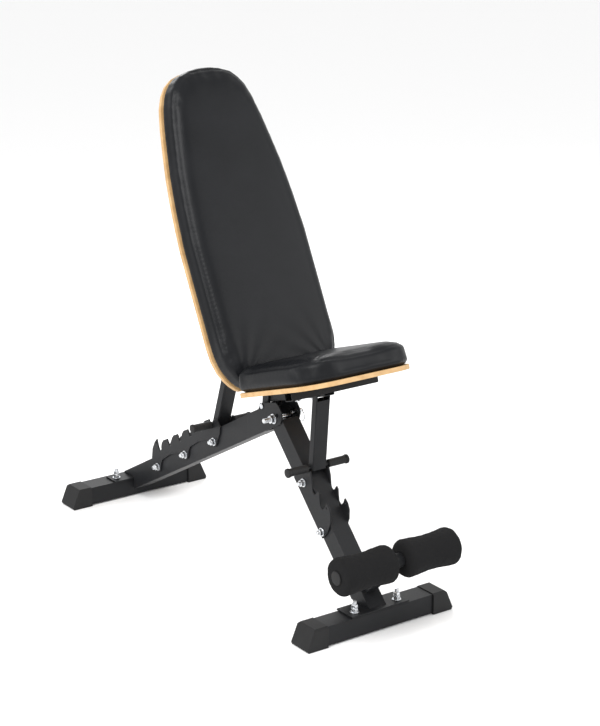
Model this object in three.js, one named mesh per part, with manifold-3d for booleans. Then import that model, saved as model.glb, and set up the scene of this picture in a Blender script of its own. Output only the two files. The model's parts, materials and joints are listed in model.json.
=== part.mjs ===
// Adjustable weight bench. Millimetres, +Z up, front foot toward -Y, centred on X.
import * as THREE from 'three';
import { mergeVertices } from 'three/addons/utils/BufferGeometryUtils.js';
import Module from 'manifold-3d';

const wasm = await Module();
wasm.setup();

// Driving dimensions
const FIT = 0.3;
const Y_CENTRE = 496.2;
const REAR_FOOT_Y = 1085;
const LEG_ANGLE = 46;
const BEAM_ANGLE = 28.8;
const SEAT_RISE = 18.4;
const BACK_ANGLE = 62.9;
const PIVOT = [368, 418];
const HINGE = [418, 437];
const BEAM_HALF = 25;
const LEG_HALF = 24.6;
const WALL = 2.5;
const FOOT_TUBE_HALF = 185;
const CAP_OUTER = 214;
const CAP_TOP_OUTER = 192.5;
const CAP_INNER = 155;
const CAP_HALF_WIDTH = 33.45;
const CAP_HEIGHT = 53.4;
const PLATE_IN = 25.3;
const GUSSET_OUT = 28.3;
const LADDER_OUT = 29.3;
const SEAT_LADDER_IN = 24.9;
const ROD_R = 4.5;
const ROD_HALF = 86;
const GRIP_R = 10;
const NOTCH_0 = -286.6;
const NOTCH_PITCH = 58.5;
const NOTCH_COUNT = 6;
const NOTCH_LIFT = 51.5;
const SEAT_NOTCHES = [[-159.8, 43.1], [-216.6, 27.1], [-259.7, 32.8]];
const SEAT_STRUT_TOP = [226, 18];
const BACK_STRUT_TOP = [243.7, -4.4];
const AXLE = [-473, 166];
const AXLE_R = 12.5;
const PIN_AT = [353, 431];

const paint = { color: 0x26282b, roughness: 0.45, metalness: 0.6 };
const zinc = { color: 0xb9bcc0, roughness: 0.3, metalness: 0.95 };
const rubber = { color: 0x141414, roughness: 0.75, metalness: 0 };
const vinyl = { color: 0x17171a, roughness: 0.5, metalness: 0 };
const ply = { color: 0xcfa877, roughness: 0.6, metalness: 0 };
const foam = { color: 0x101010, roughness: 0.95, metalness: 0 };

// Side-view frames: a runs along the member, b is square to it
const rad = Math.PI / 180;
function sideFrame(origin, degrees, turn) {
  const a = [Math.cos(degrees * rad), Math.sin(degrees * rad)];
  return { o: origin, a, b: turn > 0 ? [-a[1], a[0]] : [a[1], -a[0]] };
}
const LEVEL = { o: [0, 0], a: [1, 0], b: [0, 1] };
const LEG = sideFrame(PIVOT, LEG_ANGLE, 1);
const BEAM = sideFrame(PIVOT, 180 - BEAM_ANGLE, -1);
const SEAT = sideFrame(HINGE, 180 - SEAT_RISE, -1);
const BACK = sideFrame(HINGE, BACK_ANGLE, 1);

function at(f, a, b) {
  return [f.o[0] + a * f.a[0] + b * f.b[0], f.o[1] + a * f.a[1] + b * f.b[1]];
}
function between(p, q) {
  return sideFrame(p, Math.atan2(q[1] - p[1], q[0] - p[0]) / rad, 1);
}
function span(p, q) {
  return Math.hypot(q[0] - p[0], q[1] - p[1]);
}

// Solids
function solid(geometry) {
  let g = geometry.clone();
  g.deleteAttribute('normal');
  g.deleteAttribute('uv');
  g = mergeVertices(g, 1e-4);
  const tri = new Uint32Array(g.index.array);
  const make = () => new wasm.Manifold(new wasm.Mesh({
    numProp: 3,
    vertProperties: new Float32Array(g.attributes.position.array),
    triVerts: tri,
  }));
  let m = make();
  if (m.volume() < 0) {
    for (let i = 0; i < tri.length; i += 3) {
      const t = tri[i];
      tri[i] = tri[i + 1];
      tri[i + 1] = t;
    }
    m = make();
  }
  return m;
}
function fuse(...list) {
  return list.flat().reduce((sum, m) => sum.add(m));
}
function cut(body, ...list) {
  return list.flat().reduce((rest, m) => rest.subtract(m), body);
}
function mirror(m) {
  return m.mirror([1, 0, 0]);
}
function prism(f, outline, x0, x1) {
  const shape = new THREE.Shape(outline.map(([a, b]) => new THREE.Vector2(...at(f, a, b))));
  const g = new THREE.ExtrudeGeometry(shape, { depth: x1 - x0, bevelEnabled: false });
  const basis = new THREE.Matrix4().makeBasis(
    new THREE.Vector3(0, 1, 0), new THREE.Vector3(0, 0, 1), new THREE.Vector3(1, 0, 0));
  g.applyMatrix4(basis.setPosition(x0, 0, 0));
  return solid(g);
}
function block(f, a0, a1, b0, b1, x0, x1) {
  return prism(f, [[a0, b0], [a1, b0], [a1, b1], [a0, b1]], x0, x1);
}
function softBlock(f, a0, a1, b0, b1, x0, x1, c) {
  const core = block(f, a0, a1, b0, b1, x0 + c, x1 - c);
  return fuse(core, block(f, a0, a1, b0 + c, b1 - c, x0, x1));
}
function tube(f, a0, a1, b0, b1, half, wall) {
  const skin = softBlock(f, a0, a1, b0, b1, -half, half, 1.5);
  const w = wall;
  return cut(skin, block(f, a0 - 9, a1 + 9, b0 + w, b1 - w, w - half, half - w));
}
function rod(p, q, r, sides = 14, r2 = r) {
  const from = new THREE.Vector3(...p);
  const to = new THREE.Vector3(...q);
  const g = new THREE.CylinderGeometry(r2, r, from.distanceTo(to), sides);
  const dir = to.clone().sub(from).normalize();
  g.applyQuaternion(new THREE.Quaternion().setFromUnitVectors(new THREE.Vector3(0, 1, 0), dir));
  const mid = from.add(to).multiplyScalar(0.5);
  g.translate(mid.x, mid.y, mid.z);
  return solid(g);
}
function rodX(c, r, x0, x1, sides = 14) {
  return rod([x0, ...c], [x1, ...c], r, sides);
}
// Through bolt along X: head on +X, washers, nut and thread end on -X
function boltX(c, r, face, tail) {
  const f = face + FIT;
  return fuse(
    rodX(c, r, -f - 2 - 1.6 * r - tail, f + 3, 10),
    rodX(c, 2.1 * r, f, f + 1.6, 12), rodX(c, 1.75 * r, f + 1.4, f + 1.6 + 1.1 * r, 6),
    rodX(c, 2.1 * r, -f - 1.6, -f, 12), rodX(c, 1.8 * r, -f - 1.6 - 1.6 * r, -f - 1.4, 6));
}
// Bolt along any direction: thread end above, washer and nut on the plate face
function boltUp(foot, top, face, r, nut, washer) {
  const dir = new THREE.Vector3(...top).sub(new THREE.Vector3(...foot)).normalize();
  const p = (d) => new THREE.Vector3(...face).addScaledVector(dir, d).toArray();
  return fuse(rod(foot, top, r, 10), rod(p(FIT), p(FIT + 1.8), washer, 12),
    rod(p(FIT + 1.6), p(FIT + 1.8 + nut), 1.75 * r, 6));
}

const bench = new THREE.Group();
bench.name = 'adjustable_weight_bench';
function part(name, body, look) {
  const raw = body.getMesh();
  const g = new THREE.BufferGeometry();
  g.setAttribute('position', new THREE.BufferAttribute(new Float32Array(raw.vertProperties), 3));
  g.setIndex(new THREE.BufferAttribute(new Uint32Array(raw.triVerts), 1));
  g.translate(0, -Y_CENTRE, 0);
  const flat = g.toNonIndexed();
  flat.computeVertexNormals();
  const mesh = new THREE.Mesh(flat, new THREE.MeshStandardMaterial(look));
  mesh.name = name;
  bench.add(mesh);
}

// Floor feet: tube, end caps, base plate and two standing bolts
function foot(label, y, plate, boltX0, boltY, plateHalf) {
  const f = { o: [y, 0], a: [1, 0], b: [0, 1] };
  const cross = block(f, -29, 29, 3.3, 51, -FOOT_TUBE_HALF, FOOT_TUBE_HALF);
  const bore = block(f, -29 + WALL, 29 - WALL, 3.3 + WALL, 51 - WALL, -400, 400);
  const holes = [-1, 1].map((s) => rod([s * boltX0, boltY, 40], [s * boltX0, boltY, 70], 5 + FIT));
  part(`${label}_foot_tube`, cut(cross, bore, ...holes), paint);
  const slab = block(LEVEL, plate[0], plate[1], 51.5, 55.5, -plateHalf, plateHalf);
  part(`${label}_base_plate`, cut(slab, ...holes), paint);
  for (const [side, s] of [['left', -1], ['right', 1]]) {
    const shape = new THREE.Shape([[CAP_INNER, 0], [CAP_OUTER - 3, 0], [CAP_OUTER, 6],
      [CAP_TOP_OUTER + 3, 49], [CAP_TOP_OUTER - 2, CAP_HEIGHT], [CAP_INNER, CAP_HEIGHT],
    ].map(([x, z]) => new THREE.Vector2(x, z)));
    const w = CAP_HALF_WIDTH;
    const g = new THREE.ExtrudeGeometry(shape, { depth: 2 * w, bevelEnabled: false });
    const basis = new THREE.Matrix4().makeBasis(
      new THREE.Vector3(1, 0, 0), new THREE.Vector3(0, 0, 1), new THREE.Vector3(0, -1, 0));
    g.applyMatrix4(basis.setPosition(0, y + w, 0));
    let cap = solid(g);
    const edge = rod([100, y - w, CAP_HEIGHT], [260, y - w, CAP_HEIGHT], 5, 4);
    cap = cut(cap, edge, edge.translate(0, 2 * w, 0));
    const pocket = 29 + FIT;
    cap = cut(cap, block(f, -pocket, pocket, 3, 51.3, 100, FOOT_TUBE_HALF + FIT));
    for (let i = -4; i <= 4; i += 1) {
      cap = cut(cap, block(f, i * 7 - 1.4, i * 7 + 1.4, -1, 4, 206, 230));
    }
    part(`${label}_cap_${side}`, s > 0 ? cap : mirror(cap), rubber);
    const x = s * boltX0;
    part(`${label}_plate_bolt_${side}`,
      boltUp([x, boltY, 30], [x, boltY, 84], [x, boltY, 55.5], 5, 9, 11), zinc);
  }
}
foot('front', 0, [-29, 33], 62, -8, 84);
foot('rear', REAR_FOOT_Y, [1049, 1101], 64, 1075, 82);

// Main beam with pivot gussets
const beamTube = tube(BEAM, -900, -56, -19, 38, BEAM_HALF, WALL);
const beamBolts = [-300, -458, -616].map((a) => at(BEAM, a, 9));
part('main_beam', cut(beamTube,
  block(LEVEL, 1048, 1300, -60, 55.8, -60, 60),
  block(LEVEL, 1100, 1300, -60, 200, -60, 60),
  ...beamBolts.map((c) => rodX(c, 5 + FIT, -60, 60))), paint);
const gusset = cut(
  prism(LEVEL, [[358, 462], [427, 443], [433, 425.5], [480, 400], [480, 335], [376, 392],
    [350, 405], [339, 413], [333, 430], [335, 442], [346, 455]], PLATE_IN, GUSSET_OUT),
  rodX(PIVOT, 6 + FIT, 0, 60), rodX(HINGE, 4.5 + FIT, 0, 60), rodX(PIN_AT, 4 + FIT, 0, 60));
part('pivot_gusset_right', gusset, paint);
part('pivot_gusset_left', mirror(gusset), paint);
part('leg_pivot_bolt', boltX(PIVOT, 6, GUSSET_OUT, 18), zinc);
part('pad_hinge_pin', fuse(rodX(HINGE, 4.5, -31, 31),
  rodX(HINGE, 7, GUSSET_OUT + FIT, 31), rodX(HINGE, 7, -31, -GUSSET_OUT - FIT)), zinc);

// Notched ladder plates for the back strut
const upper = [];
for (let i = NOTCH_COUNT - 1; i >= 0; i -= 1) {
  const c = NOTCH_0 - NOTCH_PITCH * i;
  const rise = [[-5.5, -3], [0, -6], [7, -3], [10, 4], [18, 12], [30, 17], [51, 16], [52, 8]];
  const last = [[-5.5, -3], [0, -6], [7, -3], [10, 4], [18, 10], [28, 6], [36, -15.5]];
  for (const [a, b] of i ? rise : last) upper.push([c + a, NOTCH_LIFT + b]);
}
const lower = [[-262, 21], [-279, 9], [-287, 1], [-296, -4], [-306, -4], [-314, 3], [-322, 14],
  [-335, 22], [-379, 26], [-423, 22], [-436, 14], [-444, 3], [-452, -4], [-464, -4], [-472, 3],
  [-480, 14], [-493, 22], [-537, 26], [-581, 22], [-594, 14], [-602, 3], [-610, -4],
  [-624, -4], [-633, 6], [-636, 22], [-634, 39], [-617, 61], [-597, 74], [-583, 79],
  [-581.5, 79], [-584.5, 62]];
function slot(f, c, length) {
  const v = [f.a[1], f.b[1]];
  const s = [v[1], -v[0]];
  const r = ROD_R + FIT + 0.1;
  const corner = (h, w) => [c[0] + v[0] * h + s[0] * w, c[1] + v[1] * h + s[1] * w];
  const gap = prism(f, [corner(0, -r), corner(0, r), corner(length, r), corner(length, -r)], 0, 60);
  return fuse(gap, rodX(at(f, ...c), r, 0, 60));
}
const backSlots = [];
for (let i = 0; i < NOTCH_COUNT; i += 1) {
  backSlots.push(slot(BEAM, [NOTCH_0 - NOTCH_PITCH * i, NOTCH_LIFT], 40));
}
const backLadder = cut(prism(BEAM, [...upper, ...lower], PLATE_IN, LADDER_OUT), ...backSlots,
  ...beamBolts.map((c) => rodX(c, 5 + FIT, 0, 60)),
  rodX(at(BEAM, -588, 70), 2.6, 0, 60));
part('back_ladder_right', backLadder, paint);
part('back_ladder_left', mirror(backLadder), paint);
beamBolts.forEach((c, i) => part(`back_ladder_bolt_${i + 1}`, boltX(c, 5, LADDER_OUT, 6), zinc));

// Front leg
const legBolts = [[-178, 2], [-304, -14]].map(([a, b]) => at(LEG, a, b));
const legShape = prism(LEG, [[-560, -25], [-560, 25], [-16, 25], [-4, 19.6], [8, 18.3],
  [15, 13.2], [19, 6.2], [20, 0], [19, -6.2], [15, -13.2], [8, -18.3], [-4, -19.6], [-16, -25],
], -LEG_HALF, LEG_HALF);
const inside = LEG_HALF - WALL;
part('front_leg_tube', cut(legShape,
  block(LEG, -600, -15.9, -22.5, 22.5, -inside, inside),
  block(LEG, -16, 40, -30, 30, -inside, inside),
  block(LEVEL, -400, 400, -200, 55.8, -60, 60),
  rodX(PIVOT, 6 + FIT, -60, 60), rodX(PIN_AT, 5.2, 0, 60),
  ...legBolts.map((c) => rodX(c, 5 + FIT, -60, 60))), paint);

// Notched ladder plates for the seat strut
const seatLadderOutline = [[-148, -25], [-148, 40], [-153, 38], [-158, 37], [-166, 41],
  [-170, 47], [-188.8, 38], [-208, 23.5], [-214, 21], [-221, 23], [-223, 32], [-220.6, 43],
  [-229, 43], [-240.5, 33.6], [-252.7, 25.6], [-259, 26], [-265, 29], [-264, 42],
  [-258.9, 53], [-272, 54], [-287.7, 48.8], [-304, 32.8], [-314.5, 9], [-317.7, -13.6],
  [-317, -25]];
const seatLadder = cut(prism(LEG, seatLadderOutline, SEAT_LADDER_IN, SEAT_LADDER_IN + 4),
  ...SEAT_NOTCHES.map((c) => slot(LEG, c, 14)), rodX(at(LEG, -269, 45), 2.6, 0, 60),
  ...legBolts.map((c) => rodX(c, 5 + FIT, 0, 60)));
part('seat_ladder_right', seatLadder, paint);
part('seat_ladder_left', mirror(seatLadder), paint);
legBolts.forEach((c, i) =>
  part(`seat_ladder_bolt_${i + 1}`, boltX(c, 5, SEAT_LADDER_IN + 4, 5), zinc));

// Leg rollers on a welded arm
const axleAt = at(LEG, ...AXLE);
part('roller_arm', fuse(
  cut(block(LEG, -488, -458, 25.3, AXLE[1] - 6, -15, 15),
    block(LEG, -485.5, -460.5, 10, AXLE[1] - 16, -12.5, 12.5)),
  rodX(axleAt, AXLE_R, -164, 164, 16), rodX(axleAt, 17, -15, 15, 16)), paint);
for (const [side, s] of [['left', -1], ['right', 1]]) {
  const profile = [[0, 17.3], [36, 17.3], [43, 20], [46, 28], [44.5, 52], [42, 92], [44.5, 132],
    [46, 156], [43, 164], [36, 167], [0, 167]].map(([r, x]) => new THREE.Vector2(r, x));
  const g = new THREE.LatheGeometry(profile, 20);
  g.rotateZ(-Math.PI / 2);
  g.translate(0, ...axleAt);
  const roll = cut(solid(g), rodX(axleAt, AXLE_R + FIT, 0, 200, 16));
  part(`roller_${side}`, s > 0 ? roll : mirror(roll), foam);
  const stop = fuse(rodX(axleAt, 17, 167.4, 171, 16), rodX(axleAt, 11, 164.4, 168, 16));
  part(`axle_cap_${side}`, s > 0 ? stop : mirror(stop), rubber);
}

// Lock pin with hanging pull ring
const pinShape = fuse(rodX(PIN_AT, 4, 15, 46), rodX(PIN_AT, 6.5, 29, 41, 16));
part('lock_pin', cut(pinShape, rod([43.5, PIN_AT[0] - 9, PIN_AT[1]], [43.5, PIN_AT[0] + 9, PIN_AT[1]], 2.3, 10)), zinc);
const ringGeo = new THREE.TorusGeometry(14, 1.1, 6, 20);
ringGeo.rotateY(Math.PI / 2);
ringGeo.translate(43.5, PIN_AT[0], PIN_AT[1] - 14);
part('pull_ring', solid(ringGeo), zinc);

// T-handled struts that drop into the notches
function strut(name, top, low, halfDepth, halfWidth, topEnd) {
  const f = between(top, low);
  const length = span(top, low);
  const arm = softBlock(f, -halfDepth, length + 6, -halfDepth, halfDepth, -halfWidth, halfWidth, 1.5);
  const w = halfWidth - WALL;
  const d = halfDepth - WALL;
  const body = cut(arm, block(f, 20, length - 12, -d, d, -w, w),
    block(f, -40, topEnd, -40, 40, -w, w), rodX(top, 5 + FIT, -60, 60));
  part(`${name}_strut`, fuse(body, rodX(low, ROD_R, -ROD_HALF, ROD_HALF)), paint);
  for (const [side, s] of [['left', -1], ['right', 1]]) {
    const grip = cut(fuse(rodX(low, GRIP_R, 31, 84, 16), rodX(low, 11.5, 82, 89, 16)),
      rodX(low, ROD_R + FIT, 0, ROD_HALF + FIT));
    part(`${name}_grip_${side}`, s > 0 ? grip : mirror(grip), rubber);
  }
}
const seatTop = at(SEAT, ...SEAT_STRUT_TOP);
const backTop = at(BACK, ...BACK_STRUT_TOP);
strut('seat', seatTop, at(LEG, ...SEAT_NOTCHES[0]), 10, 20, 20);
strut('back', backTop, at(BEAM, NOTCH_0, NOTCH_LIFT), 11, 20, 22);

// Pad outlines
function pad(f, outline, n0, n1, edge, flip, crown = 0) {
  const shape = new THREE.Shape(outline.map(([x, a]) => new THREE.Vector2(x, a)));
  const g = new THREE.ExtrudeGeometry(shape, { depth: n1 - n0 - 2 * edge, steps: 1,
    bevelEnabled: edge > 0, bevelSize: edge, bevelOffset: -edge, bevelThickness: edge,
    bevelSegments: 1 });
  g.translate(0, 0, edge);
  const s = flip ? -1 : 1;
  const n = new THREE.Vector3(0, f.b[0] , f.b[1]);
  const z = n.clone().multiplyScalar(s);
  const basis = new THREE.Matrix4().makeBasis(
    new THREE.Vector3(1, 0, 0), new THREE.Vector3(0, f.a[0], f.a[1]), z);
  const base = at(f, 0, flip ? n1 : n0);
  g.applyMatrix4(basis.setPosition(0, base[0], base[1]));
  return solid(g);
}
function mirrored(side) {
  return [...side, ...side.slice().reverse().map(([x, a]) => [-x, a])];
}
function corner(cx, cy, r, from, steps = 6) {
  const list = [];
  for (let i = 0; i <= steps; i += 1) {
    const t = (from + (90 * i) / steps) * rad;
    list.push([cx + r * Math.cos(t), cy + r * Math.sin(t)]);
  }
  return list;
}
const seatOutline = mirrored([...corner(141, 121, 15, -90, 3), ...corner(81, 350, 75, 0, 8)]);
const backSide = [[117, 41], [127, 47], [139, 58], [151, 74], [162, 95], [170, 125], [172, 155],
  [172, 400], [169, 454], [164, 517], [157, 579], [147, 641], [136, 703], [124, 753],
  [110, 785], [94, 807], [74, 823], [50, 832], [22, 837]];

// Seat
const railBolt = at(SEAT, 130, 16);
const padBoltsF = [120, 188];
const padPoint = (f, a, b) => [0, ...at(f, a, b)];
const rail = fuse(tube(SEAT, -8, 255.7, 6.3, 36.3, 15, 2.5),
  ...[-1, 1].map((s) => cut(fuse(
    block(SEAT, -10, 14, 0, 12, s * 13 - 2, s * 13 + 2),
    rodX(HINGE, 11, s * 13 - 2, s * 13 + 2)))));
const seatPin = rodX(seatTop, 5 + FIT, -60, 60);
const through = (f, a, b0, b1, r) => rod(padPoint(f, a, b0), padPoint(f, a, b1), r, 10);
part('seat_rail', cut(rail, rodX(HINGE, 4.5 + FIT, -60, 60), seatPin,
  rodX(railBolt, 4 + FIT, -60, 60), ...padBoltsF.map((a) => through(SEAT, a, 0, 40, 4 + FIT))), paint);
part('seat_crossbar', cut(softBlock(SEAT, 256, 286, 14, 36.3, -125, 125, 1.5),
  block(SEAT, 258.5, 283.5, 16.5, 33.8, -200, 200)), paint);
part('seat_rail_bolt', boltX(railBolt, 4, 15, 10), zinc);
part('seat_strut_pin', fuse(rodX(seatTop, 5, -21.5, 21.5),
  rodX(seatTop, 8, 20.3, 22.5), rodX(seatTop, 8, -22.5, -20.3)), paint);
const seatHoles = padBoltsF.map((a) => through(SEAT, a, 30, 47, 4 + FIT));
part('seat_board', cut(pad(SEAT, seatOutline, 36.6, 47.6, 0, true), ...seatHoles), ply);
part('seat_cushion', pad(SEAT, seatOutline, 47.9, 100, 10, true), vinyl);
padBoltsF.forEach((a, i) => part(`seat_pad_bolt_${i + 1}`, fuse(
  through(SEAT, a, 2, 44, 4), through(SEAT, a, 4.4, 6, 9), through(SEAT, a, 0, 4.6, 7)), zinc));

// Back rest
const ears = [-1, 1].map((s) => fuse(
  block(BACK, 228, 259, -2, 46, s * 22 - 1.7, s * 22 + 1.7),
  rodX(backTop, 14, s * 22 - 1.7, s * 22 + 1.7)));
const brackets = [-1, 1].map((s) => fuse(
  prism(BACK, [[-9, 6], [36, 42], [110, 42], [110, 27], [60, 24], [9, -7]],
    s * 17.7 - 2, s * 17.7 + 2),
  rodX(HINGE, 11, s * 17.7 - 2, s * 17.7 + 2)));
const backBoltsU = [150, 470];
const backTube = tube(BACK, 36, 560, 27, 52, 20, 2.5);
part('back_tube', cut(fuse(backTube, ...brackets, ...ears.map((e, i) => fuse(e,
  block(BACK, 228, 259, 30, 46, i ? 19 : -21, i ? 21 : -19)))),
  rodX(HINGE, 4.5 + FIT, -60, 60), rodX(backTop, 5 + FIT, -60, 60),
  ...backBoltsU.map((a) => through(BACK, a, 20, 60, 4 + FIT))), paint);
part('back_strut_pin', fuse(rodX(backTop, 5, -26, 26),
  rodX(backTop, 8, 24.1, 26.5), rodX(backTop, 8, -26.5, -24.1)), zinc);
part('back_board', cut(pad(BACK, mirrored(backSide), 52.3, 62.5, 0, false),
  ...backBoltsU.map((a) => through(BACK, a, 50, 62, 4 + FIT))), ply);
part('back_cushion', pad(BACK, mirrored(backSide), 62.8, 114, 10, false), vinyl);
backBoltsU.forEach((a, i) => part(`back_pad_bolt_${i + 1}`, fuse(
  through(BACK, a, 22, 59, 4), through(BACK, a, 25, 26.7, 9), through(BACK, a, 20.5, 25.2, 7)), zinc));

export default bench;
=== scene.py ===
import json
import math

import bmesh
import bpy
import numpy as np
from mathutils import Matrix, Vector, noise


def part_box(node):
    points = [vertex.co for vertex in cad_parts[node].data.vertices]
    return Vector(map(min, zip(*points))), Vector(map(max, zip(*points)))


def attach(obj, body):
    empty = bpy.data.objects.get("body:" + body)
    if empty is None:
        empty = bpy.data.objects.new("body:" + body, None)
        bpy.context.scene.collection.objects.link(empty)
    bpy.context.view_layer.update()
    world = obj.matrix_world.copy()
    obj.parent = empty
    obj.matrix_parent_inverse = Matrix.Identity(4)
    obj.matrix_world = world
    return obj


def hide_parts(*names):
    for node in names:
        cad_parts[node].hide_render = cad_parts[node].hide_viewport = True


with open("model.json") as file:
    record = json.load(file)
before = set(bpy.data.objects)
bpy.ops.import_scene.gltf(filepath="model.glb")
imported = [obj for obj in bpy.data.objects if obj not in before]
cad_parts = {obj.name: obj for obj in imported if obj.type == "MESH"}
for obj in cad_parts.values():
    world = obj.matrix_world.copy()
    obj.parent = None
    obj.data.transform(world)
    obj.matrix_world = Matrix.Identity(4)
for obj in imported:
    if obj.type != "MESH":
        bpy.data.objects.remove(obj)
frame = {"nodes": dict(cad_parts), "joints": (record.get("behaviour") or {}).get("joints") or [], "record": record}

MM = 0.001
SEAT_RISE = math.radians(18.4)
BACK_ANGLE = math.radians(62.9)
CAMERA_AT = Vector((-2.6214, -3.8721, 1.9912))
CAMERA_AIM = Vector((0.0, -0.1992, 0.573))
CAMERA_LENS = 98.43

# Rounding widths of edges
CAP_EDGE = 1.8 * MM
PART_EDGE = 0.7 * MM
BOLT_EDGE = 0.4 * MM

# Bolts: hexagons are measured in shank radii, and the rest in metres
CLEARANCE = 0.3 * MM
CROSS_WASHER = 1.6 * MM
HEX_SIZE = 1.75
ROUND = 32
FINE_ROUND = 48
HEX = 6

# Cushions
VOXEL = 5 * MM
CLOTH_FRAMES = 20
CLOTH_PRESSURE = 4
CLOTH_CAP = 7 * MM
HELD_DEPTH = 9 * MM
CALM_ROUNDS = 14
CROWN = 3.5 * MM
CROWN_REACH = 45 * MM
SEAM_DEPTH = 2.2 * MM
SEAM_INSET = 13 * MM
SEAM_WIDTH = 3 * MM
FOLD_HEIGHT = 0.9 * MM
FOLD_RATE = 17
FOLD_START = 20 * MM

NODES = frame["nodes"]
BODY_OF = {n: b for b, ns in frame["record"]["behaviour"]["bodies"].items() for n in ns}
JOINTS = {j["name"]: j for j in frame["joints"]}
HINGE = Vector(JOINTS["seat_tilt"]["pos_m"])
SCENE = bpy.context.scene


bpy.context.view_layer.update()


# Materials

class Shader:
    """A small wrapper that wires a procedural Principled material."""

    def __init__(self, name, roughness, metallic=0.0, shine=0.5):
        self.material = bpy.data.materials.new(name)
        self.material.use_nodes = True
        self.nodes = self.material.node_tree.nodes
        self.links = self.material.node_tree.links
        self.surface = self.nodes["Principled BSDF"]
        self.surface.inputs["Metallic"].default_value = metallic
        self.surface.inputs["Roughness"].default_value = roughness
        self.surface.inputs["Specular IOR Level"].default_value = shine
        self.place = self.nodes.new("ShaderNodeTexCoord").outputs["Object"]
        self.normal = None

    def texture(self, kind, scale, detail=3.0):
        node = self.nodes.new(f"ShaderNodeTex{kind}")
        node.inputs["Scale"].default_value = scale
        if "Detail" in node.inputs:
            node.inputs["Detail"].default_value = detail
        self.links.new(self.place, node.inputs["Vector"])
        return node

    def colours(self, source, stops):
        ramp = self.nodes.new("ShaderNodeValToRGB")
        ramp.color_ramp.elements[0].position = stops[0][0]
        ramp.color_ramp.elements[0].color = (*stops[0][1], 1)
        ramp.color_ramp.elements[1].position = stops[-1][0]
        ramp.color_ramp.elements[1].color = (*stops[-1][1], 1)
        for at, colour in stops[1:-1]:
            ramp.color_ramp.elements.new(at).color = (*colour, 1)
        self.links.new(source, ramp.inputs["Fac"])
        self.links.new(ramp.outputs["Color"], self.surface.inputs["Base Color"])

    def roughness(self, source, low, high):
        span = self.nodes.new("ShaderNodeMapRange")
        span.inputs["To Min"].default_value = low
        span.inputs["To Max"].default_value = high
        self.links.new(source, span.inputs["Value"])
        self.links.new(span.outputs["Result"], self.surface.inputs["Roughness"])

    def bump(self, height, strength, distance):
        node = self.nodes.new("ShaderNodeBump")
        node.inputs["Strength"].default_value = strength
        node.inputs["Distance"].default_value = distance
        self.links.new(height, node.inputs["Height"])
        if self.normal:
            self.links.new(self.normal, node.inputs["Normal"])
        self.normal = node.outputs["Normal"]
        self.links.new(self.normal, self.surface.inputs["Normal"])


def powder_coat():
    s = Shader("powder_coat", 0.42, shine=0.16)
    cloud = s.texture("Noise", 9)
    s.colours(cloud.outputs["Fac"], [(0.3, (0.009, 0.0095, 0.0105)), (0.7, (0.014, 0.0145, 0.016))])
    s.roughness(cloud.outputs["Fac"], 0.34, 0.50)
    s.bump(s.texture("Noise", 1500, 2).outputs["Fac"], 0.35, 0.00025)
    return s.material


def zinc_plate():
    s = Shader("zinc_plate", 0.28, 1.0)
    cloud = s.texture("Noise", 160)
    s.colours(cloud.outputs["Fac"], [(0.3, (0.50, 0.52, 0.55)), (0.7, (0.74, 0.75, 0.76))])
    s.roughness(cloud.outputs["Fac"], 0.2, 0.38)
    s.bump(s.texture("Noise", 2200, 2).outputs["Fac"], 0.2, 0.0001)
    return s.material


def moulded_rubber():
    s = Shader("moulded_rubber", 0.6, shine=0.25)
    cloud = s.texture("Noise", 25)
    s.colours(cloud.outputs["Fac"], [(0.3, (0.008, 0.008, 0.0085)), (0.7, (0.013, 0.013, 0.0135))])
    s.roughness(cloud.outputs["Fac"], 0.5, 0.68)
    s.bump(s.texture("Noise", 1100, 4).outputs["Fac"], 0.5, 0.0003)
    return s.material


def smooth_vinyl():
    s = Shader("smooth_vinyl", 0.4, shine=0.15)
    cloud = s.texture("Noise", 7)
    s.colours(cloud.outputs["Fac"], [(0.3, (0.005, 0.0055, 0.0065)), (0.7, (0.0085, 0.009, 0.0105))])
    s.roughness(cloud.outputs["Fac"], 0.3, 0.42)
    s.bump(s.texture("Noise", 60, 2).outputs["Fac"], 0.25, 0.0006)
    s.bump(s.texture("Voronoi", 900).outputs["Distance"], 0.35, 0.00022)
    return s.material


def plywood():
    s = Shader("plywood", 0.55)
    grain = s.texture("Noise", 38, 6)
    s.colours(grain.outputs["Fac"], [(0.25, (0.40, 0.235, 0.095)), (0.5, (0.52, 0.325, 0.145)),
                                     (0.75, (0.60, 0.40, 0.20))])
    s.roughness(grain.outputs["Fac"], 0.45, 0.65)
    s.bump(s.texture("Noise", 500, 5).outputs["Fac"], 0.4, 0.0003)
    return s.material


def closed_cell_foam():
    s = Shader("closed_cell_foam", 0.95, shine=0.1)
    cells = s.texture("Voronoi", 520)
    s.colours(cells.outputs["Distance"], [(0.0, (0.002, 0.002, 0.002)), (0.8, (0.012, 0.012, 0.0125))])
    s.bump(cells.outputs["Distance"], 0.8, 0.0008)
    s.bump(s.texture("Noise", 120, 4).outputs["Fac"], 0.5, 0.001)
    return s.material


FINISH = {"frame_paint": powder_coat(), "zinc": zinc_plate(), "black_rubber": moulded_rubber(),
          "vinyl": smooth_vinyl(), "plywood": plywood(), "foam": closed_cell_foam()}
SLOT_OF = {s["node"]: s["material_slot"] for s in frame["record"]["subparts"]}


def soften_edges(obj, width):
    """Rounded edges and clean shading for a faceted piece."""
    weld = obj.modifiers.new("weld", "WELD")
    weld.merge_threshold = 0.02 * MM
    bevel = obj.modifiers.new("edge", "BEVEL")
    bevel.width = width
    bevel.segments = 2
    bevel.limit_method = "ANGLE"
    bevel.angle_limit = math.radians(34)
    obj.modifiers.new("shade", "WEIGHTED_NORMAL")
    for face in obj.data.polygons:
        face.use_smooth = True


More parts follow.
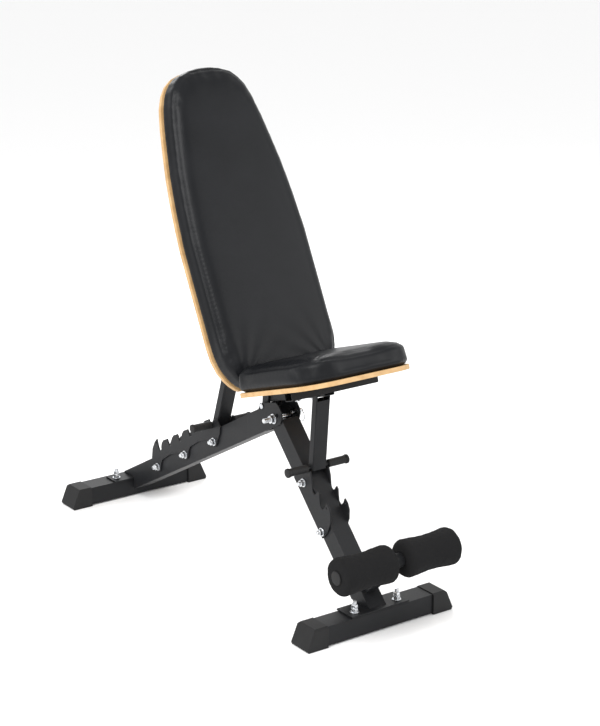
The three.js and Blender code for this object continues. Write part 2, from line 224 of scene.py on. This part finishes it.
def dress_frame():
    for name, obj in NODES.items():
        custom = obj.data.attributes.get("custom_normal")
        if custom:
            obj.data.attributes.remove(custom)
        obj.data.materials.clear()
        obj.data.materials.append(FINISH[SLOT_OF[name]])
        soften_edges(obj, CAP_EDGE if "_cap_" in name else PART_EDGE)


# Pieces

def new_piece(name, mesh, node):
    """Adds a fine piece that stands for a CAD node, on that node's body."""
    obj = bpy.data.objects.new(name, mesh)
    SCENE.collection.objects.link(obj)
    obj.data.materials.append(FINISH[SLOT_OF[node]])
    for face in obj.data.polygons:
        face.use_smooth = True
    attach(obj, BODY_OF[node])
    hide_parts(node)
    return obj


def turned(bm, profile, origin, axis, sides):
    """Adds a closed turned body: profile is (along, radius) pairs from axis to axis."""
    turn = Vector((0, 0, 1)).rotation_difference(Vector(axis)).to_matrix()
    rings = []
    for along, radius in profile:
        ring = []
        for i in range(sides if radius > 0 else 1):
            t = 2 * math.pi * i / sides
            spot = Vector((radius * math.cos(t), radius * math.sin(t), along))
            ring.append(bm.verts.new(Vector(origin) + turn @ spot))
        rings.append(ring)
    for low, high in zip(rings, rings[1:]):
        for i in range(sides):
            a, b = low[i % len(low)], low[(i + 1) % len(low)]
            c, d = high[(i + 1) % len(high)], high[i % len(high)]
            loop = list(dict.fromkeys((a, b, c, d)))
            if len(loop) > 2:
                bm.faces.new(loop)


def to_mesh(bm, name):
    bmesh.ops.recalc_face_normals(bm, faces=bm.faces)
    mesh = bpy.data.meshes.new(name)
    bm.to_mesh(mesh)
    bm.free()
    return mesh


def disc(low, high, radius, edge):
    """Profile of a disc with rounded rims."""
    return [(low, 0), (low, radius - edge), (low + edge * 0.3, radius - edge * 0.3),
            (low + edge, radius), (high - edge, radius), (high - edge * 0.3, radius - edge * 0.3),
            (high, radius - edge), (high, 0)]


def thread(low, high, radius):
    """Profile of a threaded rod with pointed crests and a chamfered tip."""
    pitch = 1.4 * MM
    depth = 0.45 * MM
    count = max(2, int((high - low) / pitch))
    step = (high - low) / count
    profile = [(low, 0), (low, radius - 2 * depth)]
    for i in range(count):
        profile.append((low + step * (i + 0.25), radius - depth))
        profile.append((low + step * (i + 0.75), radius))
    return profile + [(high, radius - 2 * depth), (high, 0)]


def hexagon(low, high, radius):
    """Profile of a nut or bolt head, turned with six sides."""
    edge = 0.08 * radius
    return [(low, 0), (low, radius - edge), (low + edge, radius), (high - edge, radius),
            (high, radius - 1.6 * edge), (high, 0)]


def cross_bolt(node, radius, face):
    """A bolt along X through parts that end at +-face: head at +X, nut at -X, a washer under each."""
    low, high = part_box(node)
    centre = (low + high) / 2
    origin = (0, centre.y, centre.z)
    across = (1, 0, 0)
    inner = face + CLEARANCE
    outer = inner + CROSS_WASHER
    head_height = 1.1 * radius
    nut_height = 1.6 * radius
    bm = bmesh.new()
    turned(bm, thread(low.x, -inner, radius), origin, across, ROUND)
    turned(bm, disc(-inner, inner, radius, 0.3 * MM), origin, across, ROUND)
    for start, end in ((inner, outer), (-outer, -inner)):
        turned(bm, disc(start, end, 2.1 * radius, 0.4 * MM), origin, across, FINE_ROUND)
    turned(bm, hexagon(outer, outer + head_height, HEX_SIZE * radius), origin, across, HEX)
    turned(bm, hexagon(-outer - nut_height, -outer, HEX_SIZE * radius), origin, across, HEX)
    soften_edges(new_piece(f"fine_{node}", to_mesh(bm, node), node), BOLT_EDGE)


def standing_bolt(node, radius, face):
    """An upright bolt: a washer and a nut on the face, and a smaller washer and nut on top of them."""
    low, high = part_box(node)
    centre = (low + high) / 2
    origin = (centre.x, centre.y, 0)
    up = (0, 0, 1)
    bottom = face + CLEARANCE
    washer_top = bottom + 1.8 * MM
    nut_top = washer_top + 9 * MM
    upper_washer_top = nut_top + 1.8 * MM
    upper_nut_top = upper_washer_top + 7.4 * MM
    bm = bmesh.new()
    turned(bm, thread(bottom, high.z, radius), origin, up, ROUND)
    turned(bm, disc(low.z, bottom, radius, 0.3 * MM), origin, up, ROUND)
    turned(bm, disc(bottom, washer_top, 11 * MM, 0.4 * MM), origin, up, FINE_ROUND)
    turned(bm, hexagon(washer_top, nut_top, HEX_SIZE * radius), origin, up, HEX)
    turned(bm, disc(nut_top, upper_washer_top, 8 * MM, 0.5 * MM), origin, up, ROUND)
    turned(bm, hexagon(upper_washer_top, upper_nut_top, 1.6 * radius), origin, up, HEX)
    soften_edges(new_piece(f"fine_{node}", to_mesh(bm, node), node), BOLT_EDGE)


def roller(side):
    """Foam sleeve with a soft waist and pinched ends."""
    node = f"roller_{side}"
    low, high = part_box(node)
    centre = (low + high) / 2
    length = high.x - low.x
    widest = (high.z - low.z) / 2
    rim = 13 * MM
    end_face = 17 * MM
    waist_depth = 4.2 * MM
    grain = 1.2 * MM
    grain_scale = 90
    skin = 20 * MM
    steps = 72
    profile = [(low.x, 0), (low.x, end_face)]
    for i in range(steps + 1):
        t = i / steps
        x = low.x + length * t
        waist = waist_depth * math.cos(math.pi * (2 * t - 1) * 0.5) ** 2
        gap = min(t, 1 - t) * length
        shoulder = rim * (1 - math.sqrt(max(0.0, 1 - max(0.0, 1 - gap / rim) ** 2)))
        profile.append((x, widest - waist - shoulder))
    profile += [(high.x, end_face), (high.x, 0)]
    bm = bmesh.new()
    turned(bm, profile, (0, centre.y, centre.z), (1, 0, 0), 96)
    for v in bm.verts:
        out = Vector((0, v.co.y - centre.y, v.co.z - centre.z))
        if out.length > skin:
            v.co += out.normalized() * (noise.noise(v.co * grain_scale) - 0.5) * grain
    new_piece(f"foam_roller_{side}", to_mesh(bm, node), node)


def grip(node):
    """Moulded sleeve with shallow rings and an end flange."""
    low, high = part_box(node)
    centre = (low + high) / 2
    sign = 1 if centre.x > 0 else -1
    inner, outer = min(abs(low.x), abs(high.x)), max(abs(low.x), abs(high.x))
    body = outer - 7 * MM
    radius = 10 * MM
    ring_depth = 0.35 * MM
    steps = 60
    profile = [(inner, 0), (inner, 9 * MM)]
    for i in range(1, steps):
        x = inner + (body - inner) * i / steps
        in_groove = math.cos(x / MM * 1.2) > 0.6
        profile.append((x, radius - ring_depth * in_groove))
    profile += [(body, radius)] + disc(body, outer, 11.5 * MM, 1.5 * MM)[1:]
    bm = bmesh.new()
    turned(bm, profile, (0, centre.y, centre.z), (sign, 0, 0), FINE_ROUND)
    new_piece(f"fine_{node}", to_mesh(bm, node), node)


def pull_ring():
    """A thin wire ring in the YZ plane."""
    low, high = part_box("pull_ring")
    centre = (low + high) / 2
    wire = 1.1 * MM
    radius = (high.z - low.z) / 2 - wire
    bm = bmesh.new()
    rings = []
    around = 72
    section = 14
    for i in range(around):
        t = 2 * math.pi * i / around
        out = Vector((0, math.cos(t), math.sin(t)))
        rings.append([bm.verts.new(centre + out * (radius + wire * math.cos(s))
                      + Vector((wire * math.sin(s), 0, 0)))
                      for s in (2 * math.pi * k / section for k in range(section))])
    for i in range(around):
        for k in range(section):
            a, b = rings[i], rings[(i + 1) % around]
            m = (k + 1) % section
            bm.faces.new((a[k], b[k], b[m], a[m]))
    new_piece("fine_pull_ring", to_mesh(bm, "ring"), "pull_ring")


# Cushions

def hull(points):
    """Convex outline of 2-D points, anticlockwise."""
    rows = sorted(set(map(tuple, np.round(points, 6))))
    sides = []
    for order in (rows, rows[::-1]):
        line = []
        for p in order:
            while len(line) > 1 and (
                (line[-1][0] - line[-2][0]) * (p[1] - line[-2][1])
                - (line[-1][1] - line[-2][1]) * (p[0] - line[-2][0])
            ) <= 0:
                line.pop()
            line.append(p)
        sides += line[:-1]
    return np.array(sides)


def edge_distance(points, outline):
    """How far inside a convex outline each point lies."""
    nxt = np.roll(outline, -1, axis=0)
    run = nxt - outline
    inward = np.stack([-run[:, 1], run[:, 0]], 1)
    inward /= np.linalg.norm(inward, axis=1)[:, None] + 1e-12
    keep = np.linalg.norm(run, axis=1) > 1e-5
    return np.min([(points - o) @ n for o, n in zip(outline[keep], inward[keep])], axis=0)


def coordinates(mesh):
    co = np.zeros(len(mesh.vertices) * 3)
    mesh.vertices.foreach_get("co", co)
    return co.reshape(-1, 3)


def inflate(obj, held, cap):
    """Each point's travel as cloth under pressure, with the base held and the travel capped."""
    group = obj.vertex_groups.new(name="held")
    group.add([int(i) for i in np.nonzero(held)[0]], 1.0, "REPLACE")
    cloth = obj.modifiers.new("Cloth", "CLOTH")
    cloth.settings.use_pressure = True
    cloth.settings.uniform_pressure_force = CLOTH_PRESSURE
    cloth.settings.effector_weights.gravity = 0
    cloth.settings.vertex_group_mass = "held"
    before = coordinates(obj.data)
    for number in range(1, CLOTH_FRAMES + 1):
        SCENE.frame_set(number)
    shown = obj.evaluated_get(bpy.context.evaluated_depsgraph_get())
    travel = coordinates(shown.data) - before
    length = np.linalg.norm(travel, axis=1)[:, None] + 1e-9
    obj.modifiers.remove(cloth)
    obj.vertex_groups.remove(group)
    SCENE.frame_set(1)
    return travel * cap * np.tanh(length / cap) / length


def relax(obj, travel):
    """Averages each point's travel with its neighbours', which evens out small ripples."""
    obj.data.vertices.foreach_set("co", travel.ravel())
    obj.data.update()
    calm = obj.modifiers.new("calm", "SMOOTH")
    calm.factor = 0.5
    calm.iterations = CALM_ROUNDS
    shown = obj.evaluated_get(bpy.context.evaluated_depsgraph_get())
    travel = coordinates(shown.data)
    obj.modifiers.remove(calm)
    return travel


def remeshed(node):
    """A copy of a CAD solid in small even faces, ready to be inflated and shaped."""
    obj = bpy.data.objects.new(f"padded_{node}", NODES[node].data.copy())
    SCENE.collection.objects.link(obj)
    obj.modifiers.new("weld", "WELD")
    voxels = obj.modifiers.new("voxels", "REMESH")
    voxels.mode = "VOXEL"
    voxels.voxel_size = VOXEL
    smooth = obj.modifiers.new("smooth", "SMOOTH")
    smooth.iterations = 3
    bpy.context.view_layer.update()
    shown = obj.evaluated_get(bpy.context.evaluated_depsgraph_get())
    obj.data = bpy.data.meshes.new_from_object(shown)
    obj.modifiers.clear()
    return obj


def corner_folds(flat, side, end, spread):
    """Height of the folds that fan out from two mirrored corners, as a share of FOLD_HEIGHT."""
    pull = np.zeros(len(flat))
    for sign in (-1, 1):
        ray = flat - np.array([sign * side, end])
        reach = np.linalg.norm(ray, axis=1)
        angle = np.arctan2(ray[:, 1], sign * ray[:, 0])
        fade = np.exp(-(reach / spread) ** 2) * np.minimum(reach / FOLD_START, 1)
        pull += np.cos(angle * FOLD_RATE + sign) * fade
    return pull


def cushion(node, along, normal, side, end, spread):
    """A stuffed pad made from the CAD solid: inflated, then given its crown, seam and folds.

    The folds fan out from (+-side, end), measured across the pad and along it from the hinge.
    """
    obj = remeshed(node)
    hinge = np.array(HINGE)

    def depth_of(points):
        return (points - hinge) @ normal

    def flattened(points):
        return np.stack([points[:, 0], (points - hinge) @ along], 1)

    base = coordinates(obj.data)
    depth = depth_of(base)
    floor, top = depth.min(), depth.max()
    outline = hull(flattened(base))
    base = base + relax(obj, inflate(obj, depth < floor + HELD_DEPTH, CLOTH_CAP))
    flat = flattened(base)
    inside = np.maximum(edge_distance(flat, outline), 0)
    upper = np.clip((depth_of(base) - floor) / (top - floor), 0, 1)
    crown = CROWN * (1 - np.exp(-inside / CROWN_REACH)) * upper ** 2
    on_top = upper > 0.75
    seam = -SEAM_DEPTH * np.exp(-((inside - SEAM_INSET) / SEAM_WIDTH) ** 2) * on_top
    base = base + np.outer(crown + seam, normal)
    folds = FOLD_HEIGHT * corner_folds(flat, side, end, spread) * upper
    base = base + np.outer(folds, normal)
    base = base - np.outer(np.minimum(depth_of(base) - floor, 0), normal)
    obj.data.vertices.foreach_set("co", base.ravel())
    obj.data.update()
    obj.data.materials.clear()
    obj.data.materials.append(FINISH["vinyl"])
    for face in obj.data.polygons:
        face.use_smooth = True
    fine = obj.modifiers.new("fine", "SUBSURF")
    fine.levels = 1
    fine.render_levels = 1
    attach(obj, BODY_OF[node])
    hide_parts(node)


# Stage

def studio():
    """A pale floor, a white world and three area lamps, each as name, place, size and watts."""
    bm = bmesh.new()
    bmesh.ops.create_grid(bm, x_segments=4, y_segments=4, size=14)
    bmesh.ops.translate(bm, verts=bm.verts, vec=(0, 0, -0.6 * MM))
    floor = bpy.data.objects.new("floor", to_mesh(bm, "floor"))
    SCENE.collection.objects.link(floor)
    look = Shader("pale_floor", 0.75)
    look.surface.inputs["Base Color"].default_value = (0.93, 0.93, 0.93, 1)
    floor.data.materials.append(look.material)
    world = bpy.data.worlds.new("studio")
    world.use_nodes = True
    world.node_tree.nodes["Background"].inputs["Color"].default_value = (1, 1, 1, 1)
    world.node_tree.nodes["Background"].inputs["Strength"].default_value = 1.0
    SCENE.world = world
    lamps = (("key", (-2.4, -1.2, 3.2), 2.4, 130), ("fill", (2.6, -2.6, 2.2), 2.2, 40),
             ("rim", (1.2, 3.0, 2.6), 2.0, 55))
    for name, at, size, watts in lamps:
        lamp = bpy.data.lights.new(name, "AREA")
        lamp.size = size
        lamp.energy = watts
        obj = bpy.data.objects.new(name, lamp)
        obj.location = at
        obj.rotation_euler = (Vector((0, 0, 0.5)) - Vector(at)).to_track_quat("-Z", "Y").to_euler()
        SCENE.collection.objects.link(obj)
    SCENE.view_settings.view_transform = "Standard"


def camera():
    data = bpy.data.cameras.new("camera")
    data.lens = CAMERA_LENS
    data.clip_end = 60
    obj = bpy.data.objects.new("camera", data)
    obj.location = CAMERA_AT
    obj.rotation_euler = (CAMERA_AIM - CAMERA_AT).to_track_quat("-Z", "Y").to_euler()
    SCENE.collection.objects.link(obj)
    SCENE.camera = obj


camera()
studio()
dress_frame()
cross_bolt("leg_pivot_bolt", radius=6 * MM, face=28.3 * MM)
for number in (1, 2, 3):
    cross_bolt(f"back_ladder_bolt_{number}", radius=5 * MM, face=29.3 * MM)
for number in (1, 2):
    cross_bolt(f"seat_ladder_bolt_{number}", radius=5 * MM, face=28.9 * MM)
cross_bolt("seat_rail_bolt", radius=4 * MM, face=15 * MM)
for side in ("left", "right"):
    for end in ("front", "rear"):
        standing_bolt(f"{end}_plate_bolt_{side}", radius=5 * MM, face=55.5 * MM)
    for which in ("seat", "back"):
        grip(f"{which}_grip_{side}")
    roller(side)
pull_ring()
seat_along = np.array([0, -math.cos(SEAT_RISE), math.sin(SEAT_RISE)])
seat_normal = np.array([0, math.sin(SEAT_RISE), math.cos(SEAT_RISE)])
back_along = np.array([0, math.cos(BACK_ANGLE), math.sin(BACK_ANGLE)])
back_normal = np.array([0, -math.sin(BACK_ANGLE), math.cos(BACK_ANGLE)])
cushion("seat_cushion", seat_along, seat_normal, side=0.13, end=0.40, spread=0.06)
cushion("back_cushion", back_along, back_normal, side=0.13, end=0.05, spread=0.13)
